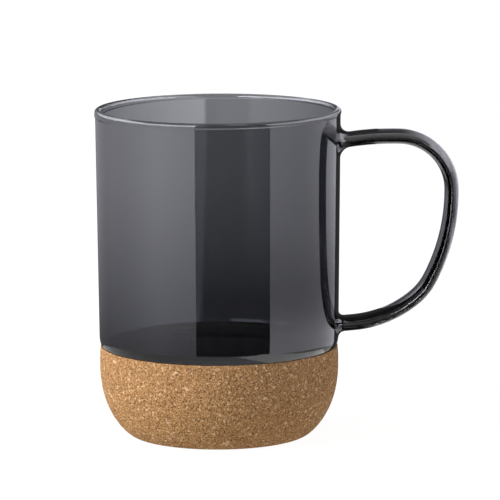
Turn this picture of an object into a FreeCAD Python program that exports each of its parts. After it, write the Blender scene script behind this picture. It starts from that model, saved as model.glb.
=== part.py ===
import FreeCAD, Part
import math
import os

# A tall smoked-glass mug with a side handle, standing in a push-fit cork base.
# Millimetres, +Z up. The origin is the centre of the cork base's flat foot, and
# the handle points along +X. Every round part turns about the Z axis.

# ---- driving dimensions -------------------------------------------------------

mug_height = 113.3          # foot of the cork to the top of the rim
rim_diameter = 85.0         # over the rim bead
cork_height = 31.0          # foot of the cork to its top edge

# glass cup
wall_thickness = 2.1        # just under the rim
low_wall_thickness = 2.6    # at the heel; the wall thickens evenly on the way down
bead_height = 1.95          # the thicker band that runs round the rim
bead_proud = 0.25           # how far the bead stands out from the wall
bead_lean = 50.0            # steepest angle of the bead's underside, in degrees
wall_taper = 0.8            # the wall is this much narrower in radius at its lower end
heel_top = 34.2             # where the wall starts to turn in, just above the cork
heel_radius = 7.8           # outside
inner_heel_radius = 5.6
floor_dome = 0.6            # how far the middle of the inside floor rises above its edge

# cork base
foot_radius = 30.8          # edge of the flat foot
bulge_radius = 41.4         # widest place
bulge_height = 25.7
cork_top_radius = 41.1
lip_round = 0.2
flank_fullness = 2.4        # exponents of the superellipse between foot and bulge
flank_roundness = 1.276
pocket_clearance = 0.05     # gap between the glass heel and the cork

# handle: an oval glass strap, bent in the XZ plane
strap_thickness = 5.0
strap_width = 15.5
handle_start_x = 46.5       # where the strap leaves its upper weld
handle_start_z = 102.5
handle_start_angle = 7.7    # degrees above level, pointing away from the cup
handle_bends = [            # (radius, degrees turned downwards), from top to bottom
    (100.0, 9.1),           # nearly straight top run
    (18.6, 87.9),           # shoulder
    (67.0, 27.7),           # grip
    (21.7, 23.8),           # lower bend
    (38.3, 34.4),           # lower run, levelling out towards the cup
]
upper_weld_fillet = 3.4     # the molten glass that joins strap and wall
lower_weld_fillet = 2.1

FLANK_STEPS = 8             # spline spans from the foot to the bulge

# ---- values worked out from them ----------------------------------------------

rim_radius = rim_diameter / 2
wall_top_radius = rim_radius - bead_proud
wall_low_radius = wall_top_radius - wall_taper
rim_round = (wall_thickness + bead_proud) / 2
bead_turn = bead_proud / 2 / (1 - math.cos(math.radians(bead_lean)))   # radius of its S curve
glass_bottom = heel_top - heel_radius           # underside of the glass
inside_bottom = heel_top - inner_heel_radius    # edge of the inside floor

AXIS_POINT = FreeCAD.Vector(0, 0, 0)
AXIS = FreeCAD.Vector(0, 0, 1)
ACROSS = FreeCAD.Vector(0, 1, 0)
TOUCHING = 1e-6             # points closer than this are the same point


# ---- outline helpers, all in the XZ plane --------------------------------------

def at(radius, height):
    return FreeCAD.Vector(radius, 0, height)


def line(start, end):
    return Part.LineSegment(start, end).toShape()


def arc(centre, radius, from_angle, to_angle):
    """Arc about centre between two angles in degrees, 0 pointing outwards and 90 up."""
    points = []
    for angle in (from_angle, (from_angle + to_angle) / 2, to_angle):
        turn = math.radians(angle)
        points.append(centre + at(radius * math.cos(turn), radius * math.sin(turn)))
    return Part.Arc(*points).toShape()


def smooth(points):
    curve = Part.BSplineCurve()
    curve.interpolate(points)
    return curve.toShape()


def ends(edge):
    return edge.valueAt(edge.FirstParameter), edge.valueAt(edge.LastParameter)


def only_solid(shape):
    """The one solid inside a cut's result."""
    return shape.Solids[0]


def seam_at_back(shape):
    """Turn a round solid half way, so that its surface seam lies away from the handle."""
    return shape.rotated(AXIS_POINT, AXIS, 180)


def revolved(edges):
    """Solid of revolution of an outline; a straight line fills each gap between its edges."""
    outline = []
    for edge, following in zip(edges, edges[1:] + edges[:1]):
        outline.append(edge)
        gap_start = ends(edge)[1]
        gap_end = ends(following)[0]
        if gap_start.distanceToPoint(gap_end) > TOUCHING:
            outline.append(line(gap_start, gap_end))
    face = Part.Face(Part.Wire(outline))
    return seam_at_back(face.revolve(AXIS_POINT, AXIS, 360))


def heel(wall_radius, radius):
    """Rounded corner between the flat bottom and the wall, bottom to top."""
    return arc(at(wall_radius - radius, heel_top), radius, -90, 0)


# ---- parts ----------------------------------------------------------------------

def make_glass_cup():
    """Cup with a flat bottom, rounded heel, tapered wall and round rim bead."""
    bead_bottom = mug_height - bead_height
    bead_turn_height = 2 * bead_turn * math.sin(math.radians(bead_lean))
    rim_middle = at(rim_radius - rim_round, mug_height - rim_round)
    inner_wall_radius = wall_low_radius - low_wall_thickness
    floor_edge = at(inner_wall_radius - inner_heel_radius, inside_bottom)
    floor_middle = at(0, inside_bottom + floor_dome)
    # the domed floor is one shallow arc, level at the axis
    dome_radius = (floor_edge.x ** 2 + floor_dome ** 2) / (2 * floor_dome)
    dome_angle = math.degrees(math.asin(floor_edge.x / dome_radius))
    inner_heel = arc(at(floor_edge.x, heel_top), inner_heel_radius, 0, -90)
    return revolved([
        line(at(0, glass_bottom), at(wall_low_radius - heel_radius, glass_bottom)),
        heel(wall_low_radius, heel_radius),
        arc(at(wall_top_radius + bead_turn, bead_bottom), bead_turn, 180, 180 - bead_lean),
        arc(at(rim_radius - bead_turn, bead_bottom + bead_turn_height), bead_turn, -bead_lean, 0),
        arc(rim_middle, rim_round, 0, 90),
        arc(rim_middle, rim_round, 90, 180),
        inner_heel,
        arc(floor_middle - at(0, dome_radius), dome_radius, 90 - dome_angle, 90),
    ])


def make_cork_base(cup_blank):
    """Thick cork saucer with a flat foot, a full rounded flank and a thin lip against the glass."""
    flank = []
    for step in range(FLANK_STEPS + 1):
        # even steps in angle keep the points close together near the foot
        height = bulge_height * (1 - math.cos(math.pi / 2 * step / FLANK_STEPS))
        below = 1 - height / bulge_height
        reach = (1 - below ** flank_fullness) ** (1 / flank_roundness)
        flank.append(at(foot_radius + (bulge_radius - foot_radius) * reach, height))
    lip_bottom = cork_height - lip_round
    lip = arc(at(cork_top_radius - lip_round, lip_bottom), lip_round, 0, 90)
    # above the bulge one large arc leans in, upright at the bulge and ending at the lip
    rise = lip_bottom - bulge_height
    lean = bulge_radius - cork_top_radius
    crown_radius = (rise ** 2 + lean ** 2) / (2 * lean)
    crown_angle = math.degrees(math.asin(rise / crown_radius))
    crown = arc(at(bulge_radius - crown_radius, bulge_height), crown_radius, 0, crown_angle)
    foot = line(at(0, 0), at(foot_radius, 0))
    top = line(ends(lip)[1], at(0, cork_height))
    return only_solid(revolved([foot, smooth(flank), crown, lip, top]).cut(cup_blank))


def make_cup_blank(clearance):
    """The solid outer shape of the cup's lower end, grown by the clearance."""
    bottom = glass_bottom - clearance
    grown_radius = heel_radius + clearance
    return revolved([
        line(at(0, bottom), at(wall_low_radius - heel_radius, bottom)),
        heel(wall_low_radius + clearance, grown_radius),
        line(at(wall_low_radius + clearance, mug_height), at(0, mug_height)),
    ])


def make_wall_cone():
    """The cup's outer wall as a solid cone, carried on down to the foot and up to the rim."""
    slope = wall_taper / (mug_height - bead_height - heel_top)
    low_radius = wall_low_radius - slope * heel_top
    high_radius = wall_low_radius + slope * (mug_height - heel_top)
    return seam_at_back(Part.makeCone(low_radius, high_radius, mug_height))


def handle_path():
    """Tangent arcs from the upper weld to the lower one, and the place and heading they end at."""
    place = at(handle_start_x, handle_start_z)
    heading = handle_start_angle
    arcs = []
    for radius, turned in handle_bends:
        # the centre of a bend that turns downwards lies to the right of the heading
        side = math.radians(heading - 90)
        centre = place + at(radius * math.cos(side), radius * math.sin(side))
        arcs.append(arc(centre, radius, heading + 90, heading + 90 - turned))
        place = ends(arcs[-1])[1]
        heading -= turned
    return arcs, place, heading


def strap_section(centre, heading):
    """Oval section square to the heading: wide across the handle, thin in its plane."""
    turn = math.radians(heading)
    along = at(math.cos(turn), math.sin(turn))
    oval = Part.Ellipse(FreeCAD.Vector(0, 0, 0), strap_width / 2, strap_thickness / 2)
    shape = oval.toShape()
    upright = along.cross(ACROSS)
    rotation = FreeCAD.Rotation(ACROSS, upright, along, "ZXY")
    shape.Placement = FreeCAD.Placement(centre, rotation)
    return Part.Wire(shape)


def make_handle():
    """The strap swept along its bends."""
    arcs, last_place, last_heading = handle_path()
    sweep = Part.BRepOffsetAPI.MakePipeShell(Part.Wire(arcs))
    sweep.setBiNormalMode(ACROSS)
    sweep.add(strap_section(at(handle_start_x, handle_start_z), handle_start_angle))
    sweep.build()
    sweep.makeSolid()
    return sweep.shape()


def make_weld(place, heading, fillet):
    """Short stub of strap that spreads into the wall with a concave fillet all round.

    heading is the direction from the wall out to the strap.
    """
    turn = math.radians(heading)
    back = at(-math.cos(turn), -math.sin(turn))
    depth = 2 * (place.x - wall_low_radius)
    stub = Part.Face(strap_section(place, heading)).extrude(back * depth)
    cone = make_wall_cone()
    joined = cone.fuse(stub).removeSplitter()
    # the seam is the loop between the strap's end and the cone's own edges
    seam = []
    for edge in joined.Edges:
        box = edge.BoundBox
        on_wall = box.XMin > 0 and box.XMax < place.x - strap_thickness / 4
        if on_wall and box.YLength > strap_thickness:
            seam.append(edge)
    spread = joined.makeFillet(fillet, seam)
    return only_solid(spread.cut(cone))


cup = make_glass_cup()
cork = make_cork_base(make_cup_blank(pocket_clearance))
handle = make_handle()
upper_place = at(handle_start_x, handle_start_z)
upper_weld = make_weld(upper_place, handle_start_angle, upper_weld_fillet)
lower_place, lower_heading = handle_path()[1:]
lower_weld = make_weld(lower_place, lower_heading + 180, lower_weld_fillet)

parts = {
    "glass_cup": cup,
    "handle": handle,
    "upper_handle_weld": upper_weld,
    "lower_handle_weld": lower_weld,
    "cork_base": cork,
}

os.makedirs("parts", exist_ok=True)
for name, shape in parts.items():
    print(name, shape.ShapeType, len(shape.Solids), shape.isValid(), round(shape.Volume, 1))
    shape.exportStep("parts/" + name + ".step")
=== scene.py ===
import math

import bpy
import numpy as np
from mathutils import Matrix, Vector, noise


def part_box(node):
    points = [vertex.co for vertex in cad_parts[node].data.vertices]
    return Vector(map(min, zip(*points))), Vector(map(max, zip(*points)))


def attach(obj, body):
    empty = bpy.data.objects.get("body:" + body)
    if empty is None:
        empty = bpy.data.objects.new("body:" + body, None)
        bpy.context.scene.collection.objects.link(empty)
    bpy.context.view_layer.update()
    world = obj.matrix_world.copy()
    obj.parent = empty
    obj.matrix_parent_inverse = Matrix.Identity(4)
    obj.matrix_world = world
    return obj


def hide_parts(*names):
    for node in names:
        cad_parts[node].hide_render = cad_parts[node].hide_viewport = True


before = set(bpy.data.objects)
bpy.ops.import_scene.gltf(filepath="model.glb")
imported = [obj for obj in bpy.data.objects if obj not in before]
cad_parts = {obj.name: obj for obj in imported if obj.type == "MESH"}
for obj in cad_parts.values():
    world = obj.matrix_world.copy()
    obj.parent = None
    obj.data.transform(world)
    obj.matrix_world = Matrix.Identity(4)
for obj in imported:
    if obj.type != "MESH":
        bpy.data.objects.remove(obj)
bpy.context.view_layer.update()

# A smoked-glass mug with an oval strap handle, standing in a cork base.
# The glass is one fused mesh: wall, rim bead, heel and floor are turned about Z,
# and the strap grows out of the wall through two filleted roots.
# Lengths are millimetres up to the moment a mesh is made, where MM turns them into metres.

MM = 0.001


def box_mm(node):
    low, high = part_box(node)
    return low / MM, high / MM


# ---- sizes ----------------------------------------------------------------------

cup_low, cup_high = box_mm("glass_cup")
cork_low, cork_high = box_mm("cork_base")
handle_low, handle_high = box_mm("handle")

# glass cup
wall_thickness = 2.1                # just under the rim
low_wall_thickness = 2.6            # at the heel
bead_height = 1.95
bead_proud = 0.25
bead_lean = 50.0                    # steepest angle of the bead's underside, in degrees
bead_sag = 1.0                      # the bead's lower edge hangs lower on the side away from the handle
wall_taper = 0.8
heel_top = cork_high.z + 3.2        # where the wall starts to turn in
inner_heel_radius = 5.6
floor_dome = 0.6                    # how far the middle of the inside floor rises

mug_height = cup_high.z
glass_bottom = cup_low.z
rim_radius = -cup_low.x
wall_top_radius = rim_radius - bead_proud
wall_low_radius = wall_top_radius - wall_taper
heel_radius = heel_top - glass_bottom
inner_low_radius = wall_low_radius - low_wall_thickness
inner_floor_radius = inner_low_radius - inner_heel_radius
inside_bottom = heel_top - inner_heel_radius
bead_bottom = mug_height - bead_height
rim_round = (wall_thickness + bead_proud) / 2
bead_turn = bead_proud / 2 / (1 - math.cos(math.radians(bead_lean)))

# handle strap
strap_thickness = 5.0
strap_width = handle_high.y - handle_low.y
strap_start = (46.5, 102.5)         # x and z where it leaves the upper root
strap_start_angle = 7.7             # degrees above level
strap_bends = [                     # (radius, degrees turned downwards)
    (100.0, 9.1),
    (18.6, 87.9),
    (67.0, 27.7),
    (21.7, 23.8),
    (38.3, 34.4),
]
upper_root_fillet = 3.4
lower_root_fillet = 2.1

# mesh fineness
AROUND = 256                        # columns round the cup
PATCH_COLUMNS = 28                  # columns a handle root takes out of the wall
PATCH_ROWS = 10                     # rows it takes out
RING = 2 * (PATCH_COLUMNS + PATCH_ROWS)
UPPER_PATCH_HEIGHT = 14.2
LOWER_PATCH_HEIGHT = 11.6
WALL_ROWS = 16                      # plain rows between the patches, and down the inside
ARC_STEP = 7.5                      # degrees between points of a small arc
RIM_STEP = 10                       # the same round the top of the rim
STRAP_STEP = 0.9                    # space between sections of the strap
SPREAD_RINGS = 5                    # rings in the wall round the foot of a root
FILLET_RINGS = 8                    # rings up its fillet
EASE = 14                           # strap sections over which the spacing round it evens out
FARTHEST_WALL = 12.0                # no strap end is farther from the wall than this
HALVINGS = 40                       # of the search for the point where a line meets the wall


# ---- outlines -------------------------------------------------------------------

def arc_points(centre, radius, from_angle, to_angle, step=ARC_STEP):
    """Points on an arc in the radius-height plane, 0 degrees outwards and 90 up."""
    count = max(2, int(abs(to_angle - from_angle) / step) + 1)
    turns = np.radians(np.linspace(from_angle, to_angle, count))
    return [(centre[0] + radius * math.cos(t), centre[1] + radius * math.sin(t)) for t in turns]


def wall_radius(height):
    """Outer radius of the tapered wall, and of the heel that it turns into low down."""
    if height < heel_top:
        drop = heel_top - height
        return wall_low_radius - heel_radius + math.sqrt(heel_radius ** 2 - drop ** 2)
    share = (height - heel_top) / (bead_bottom - heel_top)
    return wall_low_radius + wall_taper * share


def heel_points(height, clearance=0.0):
    """The outer heel from the flat bottom up to a height, grown by the clearance."""
    radius = heel_radius + clearance
    lean = math.degrees(math.asin((height - heel_top) / radius))
    return arc_points((wall_low_radius - heel_radius, heel_top), radius, -90, lean)


def inside_points(rim_end):
    """The cup's inside, from the rim's end down the wall and over the heel to the floor."""
    shares = np.linspace(0, 1, WALL_ROWS)[1:-1]
    down = [(rim_end[0] + (inner_low_radius - rim_end[0]) * share,
             rim_end[1] + (heel_top - rim_end[1]) * share) for share in shares]
    heel = arc_points((inner_floor_radius, heel_top), inner_heel_radius, 0, -90)
    floor = [(inner_floor_radius * share, inside_bottom + floor_dome * (1 - share ** 2))
             for share in (0.8, 0.6, 0.4, 0.2)]
    return down + heel + floor


# ---- meshes ---------------------------------------------------------------------

class Mesh:
    """Vertices and faces being gathered for one piece, in millimetres."""

    def __init__(self):
        self.points = []
        self.faces = []

    def add(self, points):
        first = len(self.points)
        self.points.extend(tuple(map(float, p)) for p in points)
        return list(range(first, len(self.points)))

    def bridge(self, ring_a, ring_b, closed=True):
        count = len(ring_a)
        for i in range(count if closed else count - 1):
            j = (i + 1) % count
            self.faces.append((ring_a[i], ring_a[j], ring_b[j], ring_b[i]))

    def loft(self, last, rings):
        """Carries the surface on from a ring through rings of points; returns the last ring."""
        for points in rings:
            ring = self.add(points)
            self.bridge(last, ring)
            last = ring
        return last

    def fan(self, ring, centre):
        (middle,) = self.add([centre])
        for i in range(len(ring)):
            self.faces.append((ring[i], ring[(i + 1) % len(ring)], middle))

    def piece(self, name, material):
        mesh = bpy.data.meshes.new(name)
        mesh.from_pydata([Vector(p) * MM for p in self.points], [], self.faces)
        mesh.validate()
        mesh.polygons.foreach_set("use_smooth", [True] * len(mesh.polygons))
        mesh.materials.append(material)
        made = bpy.data.objects.new(name, mesh)
        bpy.context.scene.collection.objects.link(made)
        return made


def turn(radius, height, around=AROUND):
    """One ring of points about Z. Column 0 points along +X, where the handle is."""
    angles = np.linspace(0, 2 * math.pi, around, endpoint=False)
    return [(radius * math.cos(a), radius * math.sin(a), height) for a in angles]


def sagged(point):
    """A point of the bead's lower edge, lowered on the side away from the handle."""
    away = max(0.0, -point[0] / rim_radius)
    return (point[0], point[1], point[2] - bead_sag * away ** 2)


# ---- handle ---------------------------------------------------------------------

def strap_stations(spacing):
    """Places along the strap's middle as (x, z, heading in radians), root to root."""
    x, z = strap_start
    heading = math.radians(strap_start_angle)
    stations = [(x, z, heading)]
    for radius, turned in strap_bends:
        count = max(2, round(math.radians(turned) * radius / spacing))
        step = math.radians(turned) / count
        for _ in range(count):
            chord = 2 * radius * math.sin(step / 2)
            x += chord * math.cos(heading - step / 2)
            z += chord * math.sin(heading - step / 2)
            heading -= step
            stations.append((x, z, heading))
    return stations


def strap_ring(station, angles):
    """Oval section at a station. Angle 0 is +Y and 90 degrees is the outside of the loop."""
    x, z, heading = station
    out = np.array([-math.sin(heading), 0, math.cos(heading)])
    middle = np.array([x, 0, z])
    across = np.array([0, 1, 0])
    return [
        middle + across * (strap_width / 2 * math.cos(a)) + out * (strap_thickness / 2 * math.sin(a))
        for a in angles
    ]


def on_wall(point):
    """The point moved straight in or out onto the outer wall."""
    reach = math.hypot(point[0], point[1])
    scale = wall_radius(point[2]) / reach
    return np.array([point[0] * scale, point[1] * scale, point[2]])


def hit_wall(point, direction):
    """Where a line from point along direction first meets the outer wall."""
    near, far = 0.0, FARTHEST_WALL
    for _ in range(HALVINGS):
        middle = (near + far) / 2
        there = point + direction * middle
        if math.hypot(there[0], there[1]) > wall_radius(there[2]):
            near = middle
        else:
            far = middle
    return point + direction * near


def root_rings(station, inward, angles, border, fillet):
    """Rings of points from the patch border in the wall, up the fillet, to the strap.

    inward is the direction from the strap's end into the wall.
    """
    foot, top = [], []
    ring = strap_ring(station, angles)
    out = np.array([-math.sin(station[2]), 0, math.cos(station[2])])
    for point, angle in zip(ring, angles):
        corner = hit_wall(point, inward)
        # the oval's own normal, laid flat on the wall
        away = np.array([0, 1, 0]) * (math.cos(angle) / strap_width)
        away = away + out * (math.sin(angle) / strap_thickness)
        normal = np.array([corner[0], corner[1], 0]) / math.hypot(corner[0], corner[1])
        away = away - normal * np.dot(away, normal)
        away = away / np.linalg.norm(away)
        foot.append((on_wall(corner + away * fillet), corner))
        top.append(corner - inward * fillet)
    rings = []
    border = [np.array(p) for p in border]
    for step in range(1, SPREAD_RINGS):
        share = step / SPREAD_RINGS
        rings.append([on_wall(b + (f[0] - b) * share) for b, f in zip(border, foot)])
    # a quarter circle as a weighted quadratic curve
    weight = math.sqrt(0.5)
    for step in range(FILLET_RINGS + 1):
        t = step / FILLET_RINGS
        low, mid, high = (1 - t) ** 2, 2 * weight * t * (1 - t), t ** 2
        rings.append([
            (f[0] * low + f[1] * mid + s * high) / (low + mid + high)
            for f, s in zip(foot, top)
        ])
    return rings


# ---- glass ----------------------------------------------------------------------

def patch_columns():
    """Wall columns, as signed steps from the handle's column, at the edges of a root patch."""
    return -PATCH_COLUMNS // 2, PATCH_COLUMNS // 2


def border_order():
    """The patch border as (column step, row) pairs, once round, starting at +Y and going up."""
    left, right = patch_columns()
    middle = PATCH_ROWS // 2
    up = [(right, row) for row in range(middle, PATCH_ROWS + 1)]
    over = [(column, PATCH_ROWS) for column in range(right - 1, left - 1, -1)]
    down = [(left, row) for row in range(PATCH_ROWS - 1, -1, -1)]
    under = [(column, 0) for column in range(left + 1, right + 1)]
    last = [(right, row) for row in range(1, middle)]
    return up + over + down + under + last


def toward_wall(station, sense):
    """Direction from a strap end into the wall; sense is -1 at the strap's start and 1 at its end."""
    return sense * np.array([math.cos(station[2]), 0, math.sin(station[2])])


def patch_rows(station, inward, patch_height):
    """Heights of a root patch's rows, centred where the strap's middle meets the wall."""
    middle = hit_wall(np.array([station[0], 0, station[1]]), inward)[2]
    return np.linspace(middle - patch_height / 2, middle + patch_height / 2, PATCH_ROWS + 1)


def add_outside(mesh, lower_rows, upper_rows):
    """Bottom, heel and outer wall, open at both patches.

    Returns the wall's rings, and the first ring of the lower and of the upper patch.
    """
    between = np.linspace(lower_rows[-1], upper_rows[0], WALL_ROWS)[1:-1]
    above = np.linspace(upper_rows[-1], bead_bottom, 3)[1:]
    heights = list(lower_rows) + list(between) + list(upper_rows) + list(above)
    rings = [mesh.add(turn(r, z)) for r, z in heel_points(lower_rows[0])]
    mesh.fan(rings[0][::-1], (0, 0, glass_bottom))
    for a, b in zip(rings, rings[1:]):
        mesh.bridge(a, b)
    wall = [rings[-1]]
    wall += [mesh.add(turn(wall_radius(z), z)) for z in heights[1:-1]]
    wall.append(mesh.add([sagged(point) for point in turn(wall_top_radius, bead_bottom)]))
    lower_first = 0
    upper_first = len(lower_rows) + len(between)
    left, right = patch_columns()
    for row in range(len(wall) - 1):
        in_patch = any(first <= row < first + PATCH_ROWS for first in (lower_first, upper_first))
        for column in range(AROUND):
            signed = column if column < AROUND // 2 else column - AROUND
            if in_patch and left <= signed < right:
                continue
            after = (column + 1) % AROUND
            mesh.faces.append((wall[row][column], wall[row][after],
                               wall[row + 1][after], wall[row + 1][column]))
    return wall, lower_first, upper_first


def add_rim_and_inside(mesh, last):
    """The bead with its sagging lower edge, the rounded rim, and the inside down to the floor."""
    turn_height = 2 * bead_turn * math.sin(math.radians(bead_lean))
    under = arc_points((wall_top_radius + bead_turn, bead_bottom), bead_turn, 180, 180 - bead_lean)
    under += arc_points((rim_radius - bead_turn, bead_bottom + turn_height), bead_turn,
                        -bead_lean, 0)[1:]
    rim = arc_points((rim_radius - rim_round, mug_height - rim_round), rim_round, 0, 180, RIM_STEP)
    rings = [[sagged(point) for point in turn(r, z)] for r, z in under[1:]]
    rings += [turn(r, z) for r, z in rim + inside_points(rim[-1])]
    mesh.fan(mesh.loft(last, rings), (0, 0, inside_bottom + floor_dome))


def patch_border(wall, first, sense):
    """A patch's border in the wall, and the angle round the strap that each of its points takes."""
    right = patch_columns()[1]
    border, angles = [], []
    for column, row in border_order():
        border.append(wall[first + row][column % AROUND])
        up = (row - PATCH_ROWS / 2) / (PATCH_ROWS / 2)
        angles.append(math.atan2(up, column / right))
    return border, np.unwrap(angles) * sense


def strap_rings(stations, start_angles, end_angles):
    """The strap's sections, evenly spaced round except near the ends, where they follow the roots."""
    uniform = np.linspace(0, 2 * math.pi, RING, endpoint=False)
    end_angles = np.unwrap(end_angles)
    end_angles = end_angles - round((end_angles[0] - uniform[0]) / (2 * math.pi)) * 2 * math.pi
    total = len(stations) - 1
    rings = []
    for number, station in enumerate(stations):
        head = max(0.0, 1 - number / EASE)
        tail = max(0.0, 1 - (total - number) / EASE)
        angles = uniform * (1 - head - tail) + start_angles * head + end_angles * tail
        rings.append(strap_ring(station, angles))
    return rings


def add_handle(mesh, stations, upper, lower):
    """Root, strap and root from patch to patch.

    upper and lower are each (direction into the wall, patch border, angles, fillet).
    """
    both = []
    for station, (inward, border, angles, fillet) in ((stations[0], upper), (stations[-1], lower)):
        points = [mesh.points[i] for i in border]
        both.append(root_rings(station, inward, angles, points, fillet))
    upper_rings, lower_rings = both
    upper_border, upper_angles = upper[1:3]
    lower_border, lower_angles = lower[1:3]
    # the lower root runs round the other way, so its rings are read backwards to match the strap
    flip = [0] + list(range(RING - 1, 0, -1))
    flipped_angles = np.array([lower_angles[i] for i in flip])
    last = mesh.loft(upper_border, upper_rings)
    last = mesh.loft(last, strap_rings(stations, upper_angles, flipped_angles))
    last = mesh.loft(last, [[ring[i] for i in flip] for ring in lower_rings[::-1]])
    mesh.bridge(last, [lower_border[i] for i in flip])


def make_glass(material):
    mesh = Mesh()
    stations = strap_stations(STRAP_STEP)
    upper_in = toward_wall(stations[0], -1)
    lower_in = toward_wall(stations[-1], 1)
    wall, lower_first, upper_first = add_outside(
        mesh,
        patch_rows(stations[-1], lower_in, LOWER_PATCH_HEIGHT),
        patch_rows(stations[0], upper_in, UPPER_PATCH_HEIGHT),
    )
    add_rim_and_inside(mesh, wall[-1])
    upper_border, upper_angles = patch_border(wall, upper_first, 1)
    lower_border, lower_angles = patch_border(wall, lower_first, -1)
    add_handle(mesh, stations, (upper_in, upper_border, upper_angles, upper_root_fillet),
               (lower_in, lower_border, lower_angles, lower_root_fillet))
    glass = mesh.piece("glass_mug", material)
    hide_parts("glass_cup", "handle", "upper_handle_weld", "lower_handle_weld")
    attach(glass, "mug")


# ---- cork -----------------------------------------------------------------------

foot_radius = 30.8
bulge_height = 25.7
flank_fullness = 2.4
flank_roundness = 1.276
cork_top_radius = 41.1
lip_round = 0.2
pocket_clearance = 0.05

CORK_COLUMNS = 720
CORK_ROW = 0.34                     # space between rows of the outside
FADE_ROWS = 4                       # rows over which the relief fades out at both edges
GRAIN = 0.8                         # size of the raised grains
GAP_WIDTH = 0.3                     # of the gaps between them, as a share of a grain
SEED_SPREAD = 7.3                   # takes every grain's seed to a cell of its own
GAP_DEPTH = 0.035                   # depth of the gaps between grains
GRAIN_LIFT = 0.03                   # height between the lowest and highest grains
PIT_DEPTH = 0.22                    # where a grain has fallen out
PIT_SHARE = 0.035                   # share of grains that have fallen out


def evenly(points, spacing):
    """The same outline with points an even distance apart."""
    points = np.array(points)
    steps = np.hypot(*np.diff(points, axis=0).T)
    along = np.concatenate([[0], np.cumsum(steps)])
    places = np.linspace(0, along[-1], round(along[-1] / spacing) + 1)
    return list(zip(np.interp(places, along, points[:, 0]), np.interp(places, along, points[:, 1])))


def cork_outline():
    """Outside of the cork from the foot's edge to the top of the lip."""
    bulge_radius = -cork_low.x
    points = []
    for angle in np.linspace(0, math.pi / 2, 120):
        height = bulge_height * (1 - math.cos(angle))
        reach = (1 - (1 - height / bulge_height) ** flank_fullness) ** (1 / flank_roundness)
        points.append((foot_radius + (bulge_radius - foot_radius) * reach, height))
    lip_bottom = cork_high.z - lip_round
    rise = lip_bottom - bulge_height
    lean = bulge_radius - cork_top_radius
    for share in np.linspace(0, 1, 24)[1:-1]:
        points.append((bulge_radius - lean * share ** 2, bulge_height + rise * share))
    points += arc_points((cork_top_radius - lip_round, lip_bottom), lip_round, 0, 90, 15)
    return evenly(points, CORK_ROW)


def grain_relief(point):
    """How deep the surface lies under its outline: grains at several heights, gaps and pits."""
    distances, seeds = noise.voronoi(Vector(point) / GRAIN)
    gap = max(0.0, 1 - (distances[1] - distances[0]) / GAP_WIDTH)
    chance = noise.cell(seeds[0] * SEED_SPREAD)
    pit = PIT_DEPTH if chance < PIT_SHARE else 0.0
    return GAP_DEPTH * gap ** 2 + GRAIN_LIFT * chance + pit * (1 - gap)


def roughened(outline):
    """Rings of the turned outline, each point sunk by the relief along the outline's normal."""
    line = np.array(outline)
    slope = np.gradient(line, axis=0)
    slope /= np.hypot(*slope.T)[:, None]
    rings = []
    for number, ((radius, height), (out, up)) in enumerate(zip(line, slope)):
        fade = min(1.0, number / FADE_ROWS, (len(line) - 1 - number) / FADE_ROWS)
        ring = []
        for x, y, z in turn(radius, height, CORK_COLUMNS):
            depth = grain_relief((x, y, z)) * fade
            scale = 1 - depth * up / radius
            ring.append((x * scale, y * scale, z + depth * out))
        rings.append(ring)
    return rings


def make_cork(material):
    mesh = Mesh()
    base = [(foot_radius * share, 0.0) for share in (0.3, 0.8, 0.99)]
    pocket = heel_points(cork_high.z, pocket_clearance)[::-1]
    rings = [mesh.add(turn(r, z, CORK_COLUMNS)) for r, z in base]
    rings += [mesh.add(ring) for ring in roughened(cork_outline())]
    rings += [mesh.add(turn(r, z, CORK_COLUMNS)) for r, z in pocket]
    mesh.fan(rings[0][::-1], (0, 0, 0))
    for a, b in zip(rings, rings[1:]):
        mesh.bridge(a, b)
    mesh.fan(rings[-1], (0, 0, glass_bottom - pocket_clearance))
    cork = mesh.piece("cork_base_granulated", material)
    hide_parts("cork_base")
    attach(cork, "base")


# ---- node helpers -----------------------------------------------------------------

def new_material(name):
    material = bpy.data.materials.new(name)
    material.use_nodes = True
    tree = material.node_tree
    tree.nodes.clear()
    output = tree.nodes.new("ShaderNodeOutputMaterial")
    return material, tree, output


def math_node(tree, operation, first, second=None):
    node = tree.nodes.new("ShaderNodeMath")
    node.operation = operation
    for slot, value in zip(node.inputs, (first, second)):
        if value is None:
            continue
        if isinstance(value, (int, float)):
            slot.default_value = value
        else:
            tree.links.new(value, slot)
    return node.outputs[0]


def choose(tree, switch, when_on, when_off):
    """when_on where the switch is 1, and when_off where it is 0."""
    change = math_node(tree, "SUBTRACT", when_on, when_off)
    return math_node(tree, "ADD", math_node(tree, "MULTIPLY", change, switch), when_off)


def curve_node(tree, source, points):
    """A value read off straight lines between (input, output) points, and level beyond them."""
    low, high = points[0][0], points[-1][0]
    span = tree.nodes.new("ShaderNodeMapRange")
    span.inputs["From Min"].default_value = low
    span.inputs["From Max"].default_value = high
    tree.links.new(source, span.inputs["Value"])
    peak = max(level for _, level in points)
    ramp = tree.nodes.new("ShaderNodeValToRGB")
    stops = ramp.color_ramp.elements
    for number, (place, level) in enumerate(points):
        share = (place - low) / (high - low)
        stop = stops[number] if number < 2 else stops.new(share)
        stop.position = share
        stop.color = (level / peak, level / peak, level / peak, 1)
    tree.links.new(span.outputs["Result"], ramp.inputs["Fac"])
    return math_node(tree, "MULTIPLY", ramp.outputs["Color"], peak)


def position_mm(tree):
    """Where the shaded point is, as three outputs in millimetres."""
    place = tree.nodes.new("ShaderNodeNewGeometry")
    split = tree.nodes.new("ShaderNodeSeparateXYZ")
    tree.links.new(place.outputs["Position"], split.inputs[0])
    return [math_node(tree, "DIVIDE", split.outputs[axis], MM) for axis in "XYZ"]


# ---- materials ------------------------------------------------------------------

GLASS_COLOUR = (0.0, 0.01, 0.058)   # what the depth of the glass lets through
GLASS_DENSITY = 800.0               # how fast it takes up the rest, per metre


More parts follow.
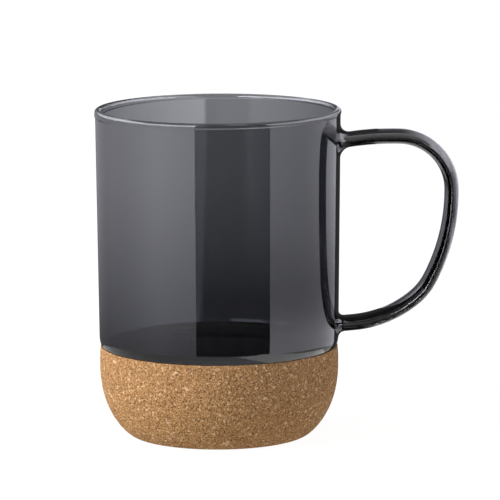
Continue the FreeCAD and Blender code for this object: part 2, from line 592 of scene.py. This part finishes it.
def smoked_glass():
    """Clear grey glass: a smooth surface round a volume that takes up most light in a few mm."""
    material, tree, output = new_material("smoked_glass")
    surface = tree.nodes.new("ShaderNodeBsdfPrincipled")
    surface.inputs["Base Color"].default_value = (1, 1, 1, 1)
    surface.inputs["Roughness"].default_value = 0.0
    surface.inputs["IOR"].default_value = 1.5
    surface.inputs["Transmission Weight"].default_value = 1.0
    depth = tree.nodes.new("ShaderNodeVolumeAbsorption")
    depth.inputs["Color"].default_value = (*GLASS_COLOUR, 1)
    depth.inputs["Density"].default_value = GLASS_DENSITY
    tree.links.new(surface.outputs[0], output.inputs["Surface"])
    tree.links.new(depth.outputs[0], output.inputs["Volume"])
    return material


def voronoi(tree, place, size):
    """Cells of a size in millimetres; returns the node."""
    node = tree.nodes.new("ShaderNodeTexVoronoi")
    node.inputs["Scale"].default_value = 1 / (size * MM)
    tree.links.new(place, node.inputs["Vector"])
    return node


def cloudy(tree, place, size):
    """Smooth noise with features of a size in millimetres; returns the node."""
    node = tree.nodes.new("ShaderNodeTexNoise")
    node.inputs["Scale"].default_value = 1 / (size * MM)
    tree.links.new(place, node.inputs["Vector"])
    return node


def chance_of(tree, cells):
    """An even random number from 0 to 1 for each cell."""
    split = tree.nodes.new("ShaderNodeSeparateColor")
    tree.links.new(cells.outputs["Color"], split.inputs[0])
    return split.outputs[0]


def colour_ramp(tree, source, stops):
    ramp = tree.nodes.new("ShaderNodeValToRGB")
    elements = ramp.color_ramp.elements
    for number, (place, colour) in enumerate(stops):
        stop = elements[number] if number < 2 else elements.new(place)
        stop.position = place
        stop.color = (*colour, 1)
    tree.links.new(source, ramp.inputs["Fac"])
    return ramp.outputs["Color"]


def blend_colour(tree, factor, first, second, blend_type="MIX"):
    mix = tree.nodes.new("ShaderNodeMix")
    mix.data_type = "RGBA"
    mix.blend_type = blend_type
    for name, value in (("Factor", factor), ("A", first), ("B", second)):
        slot = mix.inputs[name]
        if isinstance(value, (int, float)):
            slot.default_value = value
        elif isinstance(value, tuple):
            slot.default_value = (*value, 1)
        else:
            tree.links.new(value, slot)
    return mix.outputs["Result"]


CORK_SHADES = [
    (0.0, (0.13, 0.058, 0.020)), (0.14, (0.28, 0.140, 0.052)), (0.45, (0.42, 0.22, 0.088)),
    (0.80, (0.56, 0.31, 0.135)), (1.0, (0.74, 0.46, 0.23)),
]
TONES = [(0.3, (0.93, 0.92, 0.91)), (0.7, (1.0, 1.0, 1.0))]     # of the clouds over the whole cork
PALE_FLECK = (0.92, 0.64, 0.39)
DARK_SPECK = (0.05, 0.020, 0.007)
CLOUD_SIZE = 5.0
RAGGED_SIZE = 0.5                   # waves that make every cell's edge ragged
RAGGED_REACH = 0.2
SHADE_GRAIN = 0.3                   # the cells that take one shade each
FLECK_SIZE = 0.9
DOT_SIZE = 0.5
FLECK_FROM = 0.965                  # cells whose chance is above this are pale
FLECK_STRENGTH = 0.58
SPECK_SIZE = 0.8
SPECK_SHARE = 0.22                  # share of the cells that hold a dark speck
SPECK_REACH = 0.3                   # its radius, as a share of the cell
SPECK_STRENGTH = 0.9
BUMP_DEPTH = 0.12
BUMP_STRENGTH = 0.5
WAVE_SHARE = 0.3                    # share of the ragged waves in the bump
CORK_SHINE = 0.06
CORK_ROUGHNESS = (0.62, 0.3)        # lowest, and the span above it


def cork_material():
    """Agglomerated cork: fine grains of many browns with pale flecks, dark specks and small pits."""
    material, tree, output = new_material("granulated_cork")
    place = tree.nodes.new("ShaderNodeTexCoord").outputs["Object"]
    wobble = cloudy(tree, place, RAGGED_SIZE)
    bent = tree.nodes.new("ShaderNodeVectorMath")
    bent.operation = "MULTIPLY_ADD"
    tree.links.new(wobble.outputs["Color"], bent.inputs[0])
    bent.inputs[1].default_value = [RAGGED_REACH * MM] * 3
    tree.links.new(place, bent.inputs[2])
    ragged = bent.outputs[0]

    grains = voronoi(tree, ragged, SHADE_GRAIN)
    colour = colour_ramp(tree, chance_of(tree, grains), CORK_SHADES)
    tone = colour_ramp(tree, cloudy(tree, place, CLOUD_SIZE).outputs["Fac"], TONES)
    colour = blend_colour(tree, 1.0, colour, tone, "MULTIPLY")

    fleck = chance_of(tree, voronoi(tree, ragged, FLECK_SIZE))
    dot = chance_of(tree, voronoi(tree, ragged, DOT_SIZE))
    pale = math_node(tree, "GREATER_THAN", math_node(tree, "MAXIMUM", fleck, dot), FLECK_FROM)
    strength = math_node(tree, "MULTIPLY", pale, FLECK_STRENGTH)
    colour = blend_colour(tree, strength, colour, PALE_FLECK)

    specks = voronoi(tree, ragged, SPECK_SIZE)
    rare = math_node(tree, "LESS_THAN", chance_of(tree, specks), SPECK_SHARE)
    small = math_node(tree, "LESS_THAN", specks.outputs["Distance"], SPECK_REACH)
    dark = math_node(tree, "MULTIPLY", rare, small)
    strength = math_node(tree, "MULTIPLY", dark, SPECK_STRENGTH)
    colour = blend_colour(tree, strength, colour, DARK_SPECK)

    waves = math_node(tree, "MULTIPLY", wobble.outputs["Fac"], WAVE_SHARE)
    height = math_node(tree, "SUBTRACT", waves, grains.outputs["Distance"])
    height = math_node(tree, "SUBTRACT", height, dark)
    bump = tree.nodes.new("ShaderNodeBump")
    bump.inputs["Strength"].default_value = BUMP_STRENGTH
    bump.inputs["Distance"].default_value = BUMP_DEPTH * MM
    tree.links.new(height, bump.inputs["Height"])

    surface = tree.nodes.new("ShaderNodeBsdfPrincipled")
    surface.inputs["Specular IOR Level"].default_value = CORK_SHINE
    lowest, span = CORK_ROUGHNESS
    spread = math_node(tree, "MULTIPLY", wobble.outputs["Fac"], span)
    tree.links.new(math_node(tree, "ADD", spread, lowest), surface.inputs["Roughness"])
    tree.links.new(colour, surface.inputs["Base Color"])
    tree.links.new(bump.outputs[0], surface.inputs["Normal"])
    tree.links.new(surface.outputs[0], output.inputs["Surface"])
    return material


# ---- studio ---------------------------------------------------------------------

camera_back = 1342.6                # from the mug's axis
camera_height = 283.1
camera_pitch = 9.275                # degrees down
camera_yaw = 0.463                  # degrees towards the handle
camera_roll = -0.234
camera_lens = 283.2
sensor_width = 36.0


def make_camera():
    data = bpy.data.cameras.new("camera")
    data.sensor_width = sensor_width
    data.lens = camera_lens
    camera = bpy.data.objects.new("camera", data)
    camera.matrix_world = (
        Matrix.Translation((0, -camera_back * MM, camera_height * MM))
        @ Matrix.Rotation(math.radians(-camera_yaw), 4, "Z")
        @ Matrix.Rotation(math.radians(90 - camera_pitch), 4, "X")
        @ Matrix.Rotation(math.radians(camera_roll), 4, "Z")
    )
    bpy.context.scene.collection.objects.link(camera)
    bpy.context.scene.camera = camera


# Lights that only reflections see, as upright curved screens: (azimuth from the camera
# towards +X, brightness) and (height, share of the brightness)
TABLE_LEVELS = [                    # the lit table low down, brightest on the left
    (-180, 0.15), (-167, 0.20), (-162, 0.45), (-145, 0.70), (-128, 1.05), (-112, 1.75), (-95, 2.5),
    (-78, 3.3), (-57, 4.1), (-40, 3.6), (-20, 3.2), (20, 2.4), (48, 2.35), (62, 2.2), (86, 1.85),
    (103, 1.75), (120, 1.55), (146, 1.2), (165, 1.1), (180, 0.8),
]
TABLE_FADE = [(-80, 0.27), (-47, 0.56), (-22, 0.76), (2, 0.93), (26, 0.98)]
RIGHT_LEVELS = [                    # the table close by on the right, brighter again
    (48, 2.3), (62, 2.2), (86, 2.0), (103, 1.8), (120, 1.6), (150, 1.3), (170, 1.0),
]
RIGHT_FADE = [
    (-130, 1.0), (-74, 0.92), (-66, 0.66), (-60, 0.56), (-54, 0.50), (-46, 0.51), (-34, 0.62),
    (-25, 0.70),
]
BOX_LEVELS = [                      # soft boxes overhead
    (-180, 0.15), (-168, 0.4), (-150, 2.0), (-110, 8.0), (-30, 12.0), (48, 6.0), (100, 5.0),
    (145, 1.6), (168, 0.2), (180, 0.15),
]
BOX_FADE = [(200, 0.6), (260, 1.0)]
# a dark card on the camera's side, seen only in reflections, which makes the band down the front of the
# glass: a painted dark reflection
DARK_LEVELS = [(-21, 0.55), (20, 0.5), (28, 0.75), (36, 0.6), (48, 0.5)]
DARK_FADE = [(-50, 0.1), (-22, 0.45), (2, 0.9), (26, 1.0)]
SCREEN_TINT = (0.98, 0.98, 1.08)
SCREEN_REACH = 600.0                # distance of the screens from the axis
RIGHT_REACH = 595.0
DARK_REACH = 590.0
SCREEN_LOW, SCREEN_MIDDLE, SCREEN_HIGH = -130.0, 200.0, 700.0
RIGHT_HIGH = -25.0
SCREEN_STEPS = 96

# the sky, as a share of the even light
SKY_FROM = 0.3                      # sine of the height where the bright part starts
SKY_SEEN = 1.3                      # white, so that it runs on from the floor
SKY_IN_REFLECTIONS = 1.5
SKY_IN_GLASS = 4.2
FILL_LIGHT = 0.5                    # what matt surfaces get of it

# cards that only reflections see
SHADE = 0.04
STREAK = 8.0
# the flag: a painted dark reflection on the cup's right edge
FLAG = 0.06
NEAR_LEVEL = 1.0                    # the wide shade seen from closer than NEAR_TABLE
NEAR_TABLE = 80.0
HEEL_LEVEL = 2.2                    # the table cards seen from the cup, closer than NEAR_HEEL
NEAR_HEEL = 170.0

# the table
FLOOR_REACH = 4000.0
FLOOR_SIDES = 64
FLOOR_DROP = 0.1                    # how far it lies below the foot
FLOOR_GREY = 0.15
FLOOR_GLOW = 0.95
FLOOR_FILL = 0.5                    # what matt surfaces get of its glow
# painted light and shade on the table behind the mug, as the glass shows it: (place in mm, brightness
# or share of it)
BEHIND_ACROSS = [(-60, 1.7), (-10, 1.9), (-7.5, 1.0), (5, 1.0), (20, 1.0), (23, 1.2), (60, 1.2)]
BEHIND_BACK = [(170, 0.62), (240, 0.62), (330, 0.87), (400, 1.0), (650, 0.88)]
# painted light on the table to the left
LIT_LEFT_ACROSS = [(-60, 1.0), (-10, 1.1), (-7.5, 0.0)]
LIT_LEFT_BACK = [(170, 1.1), (235, 1.0), (270, 0.6), (320, 0.25), (400, 0.0)]
# one painted pool of light on the table
LIGHT_POOL_ACROSS = [(5, 0.0), (6.5, 2.6), (21, 2.2), (22.5, 0.0)]
LIGHT_POOL_BACK = [(170, 1.0), (206, 1.0), (216, 0.1), (240, 0.0)]

GLASS_BOUNCES = 24
REFLECTION_BOUNCES = 12

# the key light
KEY_POWER = 10.0
KEY_SIZE = 500.0
KEY_PLACE = (-850.0, -350.0, 500.0)
KEY_TARGET = (0.0, 0.0, 20.0)


def make_world():
    """Even white light. Reflections see a slightly brighter sky, and bent glass a much brighter one."""
    world = bpy.data.worlds.new("studio")
    world.use_nodes = True
    tree = world.node_tree
    tree.nodes.clear()
    output = tree.nodes.new("ShaderNodeOutputWorld")
    path = tree.nodes.new("ShaderNodeLightPath")
    place = tree.nodes.new("ShaderNodeTexCoord")
    split = tree.nodes.new("ShaderNodeSeparateXYZ")
    tree.links.new(place.outputs["Generated"], split.inputs[0])
    overhead = math_node(tree, "GREATER_THAN", split.outputs["Z"], SKY_FROM)
    reflected = math_node(tree, "MULTIPLY", path.outputs["Is Glossy Ray"], SKY_IN_REFLECTIONS - 1)
    refracted = math_node(tree, "MULTIPLY", path.outputs["Is Transmission Ray"], SKY_IN_GLASS - 1)
    extra = math_node(tree, "MULTIPLY", math_node(tree, "ADD", reflected, refracted), overhead)
    dimmed = math_node(tree, "MULTIPLY", path.outputs["Is Diffuse Ray"], FILL_LIGHT - 1)
    seen = math_node(tree, "MULTIPLY", path.outputs["Is Camera Ray"], SKY_SEEN - 1)
    changed = math_node(tree, "ADD", math_node(tree, "ADD", extra, dimmed), seen)
    light = tree.nodes.new("ShaderNodeBackground")
    tree.links.new(math_node(tree, "ADD", changed, 1.0), light.inputs["Strength"])
    tree.links.new(light.outputs[0], output.inputs["Surface"])
    bpy.context.scene.world = world


def only_in_reflections(stage_piece):
    stage_piece.visible_camera = False
    stage_piece.visible_diffuse = False
    stage_piece.visible_transmission = False
    stage_piece.visible_shadow = False


def glowing(name, tint=(1, 1, 1)):
    """A new material that only glows, its node tree, and the input that sets its brightness."""
    material, tree, output = new_material(name)
    light = tree.nodes.new("ShaderNodeEmission")
    light.inputs["Color"].default_value = (*tint, 1)
    tree.links.new(light.outputs[0], output.inputs["Surface"])
    return material, tree, light.inputs["Strength"]


def make_screen(name, reach, low, high, levels, fade):
    """Upright curved light screen, its brightness set by azimuth and height."""
    mesh = Mesh()
    angles = np.radians(np.linspace(levels[0][0], levels[-1][0], SCREEN_STEPS))
    bottom = mesh.add([(reach * math.sin(a), -reach * math.cos(a), low) for a in angles])
    top = mesh.add([(reach * math.sin(a), -reach * math.cos(a), high) for a in angles])
    mesh.bridge(bottom, top, closed=False)
    material, tree, brightness = glowing(name, SCREEN_TINT)
    x, y, z = position_mm(tree)
    toward_camera = math_node(tree, "MULTIPLY", y, -1.0)
    azimuth = math_node(tree, "DEGREES", math_node(tree, "ARCTAN2", x, toward_camera))
    level = curve_node(tree, azimuth, levels)
    tree.links.new(math_node(tree, "MULTIPLY", level, curve_node(tree, z, fade)), brightness)
    only_in_reflections(mesh.piece(name, material))


def make_screens():
    make_screen("table_light", SCREEN_REACH, SCREEN_LOW, SCREEN_MIDDLE, TABLE_LEVELS, TABLE_FADE)
    make_screen("near_right", RIGHT_REACH, SCREEN_LOW, RIGHT_HIGH, RIGHT_LEVELS, RIGHT_FADE)
    make_screen("soft_boxes", SCREEN_REACH, SCREEN_MIDDLE, SCREEN_HIGH, BOX_LEVELS, BOX_FADE)
    make_screen("dark_card", DARK_REACH, SCREEN_LOW, SCREEN_HIGH, DARK_LEVELS, DARK_FADE)


def seen_from_cup(tree, ray_length):
    """1 where the reflection that sees this point started on the cup and close by."""
    geometry = tree.nodes.new("ShaderNodeNewGeometry")
    back = tree.nodes.new("ShaderNodeSeparateXYZ")
    tree.links.new(geometry.outputs["Incoming"], back.inputs[0])
    x = position_mm(tree)[0]
    start = math_node(tree, "ADD", math_node(tree, "MULTIPLY", back.outputs["X"], ray_length), x)
    on_cup = math_node(tree, "LESS_THAN", start, rim_radius)
    return math_node(tree, "MULTIPLY", on_cup, math_node(tree, "LESS_THAN", ray_length, NEAR_HEEL))


def make_card(name, corners, level, near=None, heel=None):
    """A flat card that only reflections see, given by its corners.

    near is its brightness for surfaces close to it, and heel for the heel of the cup.
    """
    mesh = Mesh()
    mesh.faces.append(mesh.add(corners))
    material, tree, brightness = glowing(name)
    path = tree.nodes.new("ShaderNodeLightPath")
    ray_length = math_node(tree, "DIVIDE", path.outputs["Ray Length"], MM)
    brightness.default_value = level
    if near is not None:
        level = choose(tree, math_node(tree, "LESS_THAN", ray_length, NEAR_TABLE), near, level)
    if heel is not None:
        level = choose(tree, seen_from_cup(tree, ray_length), heel, level)
    if near is not None or heel is not None:
        tree.links.new(level, brightness)
    only_in_reflections(mesh.piece(name, material))


def table_rectangle(left, right, front, back, drop):
    """Corners of a card that lies a little below the foot, so that cards can overlap."""
    return [(left, front, -drop), (right, front, -drop), (right, back, -drop), (left, back, -drop)]


def make_table_cards():
    """The shadow beside the mug, under its handle, and a streak of light across it."""
    inner = handle_low.x
    outer = handle_high.x
    wide = table_rectangle(left=inner - 6, right=outer + 35, front=-139, back=30, drop=0.25)
    make_card("wide_shade", wide, SHADE, near=NEAR_LEVEL, heel=HEEL_LEVEL)
    narrow = table_rectangle(left=inner + 2, right=outer + 17, front=-25, back=12, drop=0.2)
    make_card("near_shade", narrow, SHADE, heel=HEEL_LEVEL)
    # the streak runs outwards and towards the camera from under the lower bend
    drop = 0.15
    streak = [(60, -7.2, -drop), (110, -38.2, -drop), (110, -31.8, -drop), (60, -0.8, -drop)]
    make_card("light_streak", streak, STREAK, heel=HEEL_LEVEL)


def make_flag():
    """Upright dark card just behind the handle, seen only in reflections: a painted dark reflection
    that gives the cup's right edge its dark outline.
    """
    back = 12
    inner = rim_radius + 1
    outer = rim_radius + 13
    corners = [(inner, back, 0), (outer, back, 0), (outer, back, mug_height), (inner, back, mug_height)]
    make_card("flag", corners, FLAG)


def make_floor():
    """A softly glowing white table, so that it stays even right up to the mug."""
    mesh = Mesh()
    mesh.fan(mesh.add(turn(FLOOR_REACH, -FLOOR_DROP, FLOOR_SIDES)), (0, 0, -FLOOR_DROP))
    material, tree, output = new_material("pale_floor")
    matt = tree.nodes.new("ShaderNodeBsdfDiffuse")
    matt.inputs["Color"].default_value = (FLOOR_GREY, FLOOR_GREY, FLOOR_GREY, 1)

    # what shows through the glass: the table behind with painted light and shade, painted light on its
    # left, and one painted pool of light
    x, y, _ = position_mm(tree)
    layers = []
    for across, back in ((BEHIND_ACROSS, BEHIND_BACK), (LIT_LEFT_ACROSS, LIT_LEFT_BACK),
                         (LIGHT_POOL_ACROSS, LIGHT_POOL_BACK)):
        layers.append(math_node(tree, "MULTIPLY", curve_node(tree, x, across),
                                curve_node(tree, y, back)))
    behind = math_node(tree, "ADD", math_node(tree, "ADD", layers[0], layers[1]), layers[2])

    path = tree.nodes.new("ShaderNodeLightPath")
    level = choose(tree, path.outputs["Is Diffuse Ray"], FLOOR_FILL, FLOOR_GLOW)
    level = choose(tree, path.outputs["Is Transmission Ray"], behind, level)
    glow = tree.nodes.new("ShaderNodeEmission")
    tree.links.new(level, glow.inputs["Strength"])
    both = tree.nodes.new("ShaderNodeAddShader")
    tree.links.new(matt.outputs[0], both.inputs[0])
    tree.links.new(glow.outputs[0], both.inputs[1])
    tree.links.new(both.outputs[0], output.inputs["Surface"])
    floor = mesh.piece("floor", material)
    floor.visible_glossy = False


def make_key_light():
    data = bpy.data.lights.new("key", "AREA")
    data.energy = KEY_POWER
    data.size = KEY_SIZE * MM
    key = bpy.data.objects.new("key", data)
    key.location = Vector(KEY_PLACE) * MM
    toward = Vector(KEY_TARGET) * MM - key.location
    key.rotation_euler = toward.to_track_quat("-Z", "Y").to_euler()
    key.visible_glossy = False
    bpy.context.scene.collection.objects.link(key)


bpy.context.scene.view_settings.view_transform = "Standard"
cycles = bpy.context.scene.cycles
cycles.max_bounces = GLASS_BOUNCES
cycles.transmission_bounces = GLASS_BOUNCES
cycles.glossy_bounces = REFLECTION_BOUNCES
cycles.transparent_max_bounces = GLASS_BOUNCES
cycles.caustics_reflective = False
cycles.caustics_refractive = False

make_glass(smoked_glass())
make_cork(cork_material())
make_camera()
make_world()
make_screens()
make_table_cards()
make_flag()
make_floor()
make_key_light()
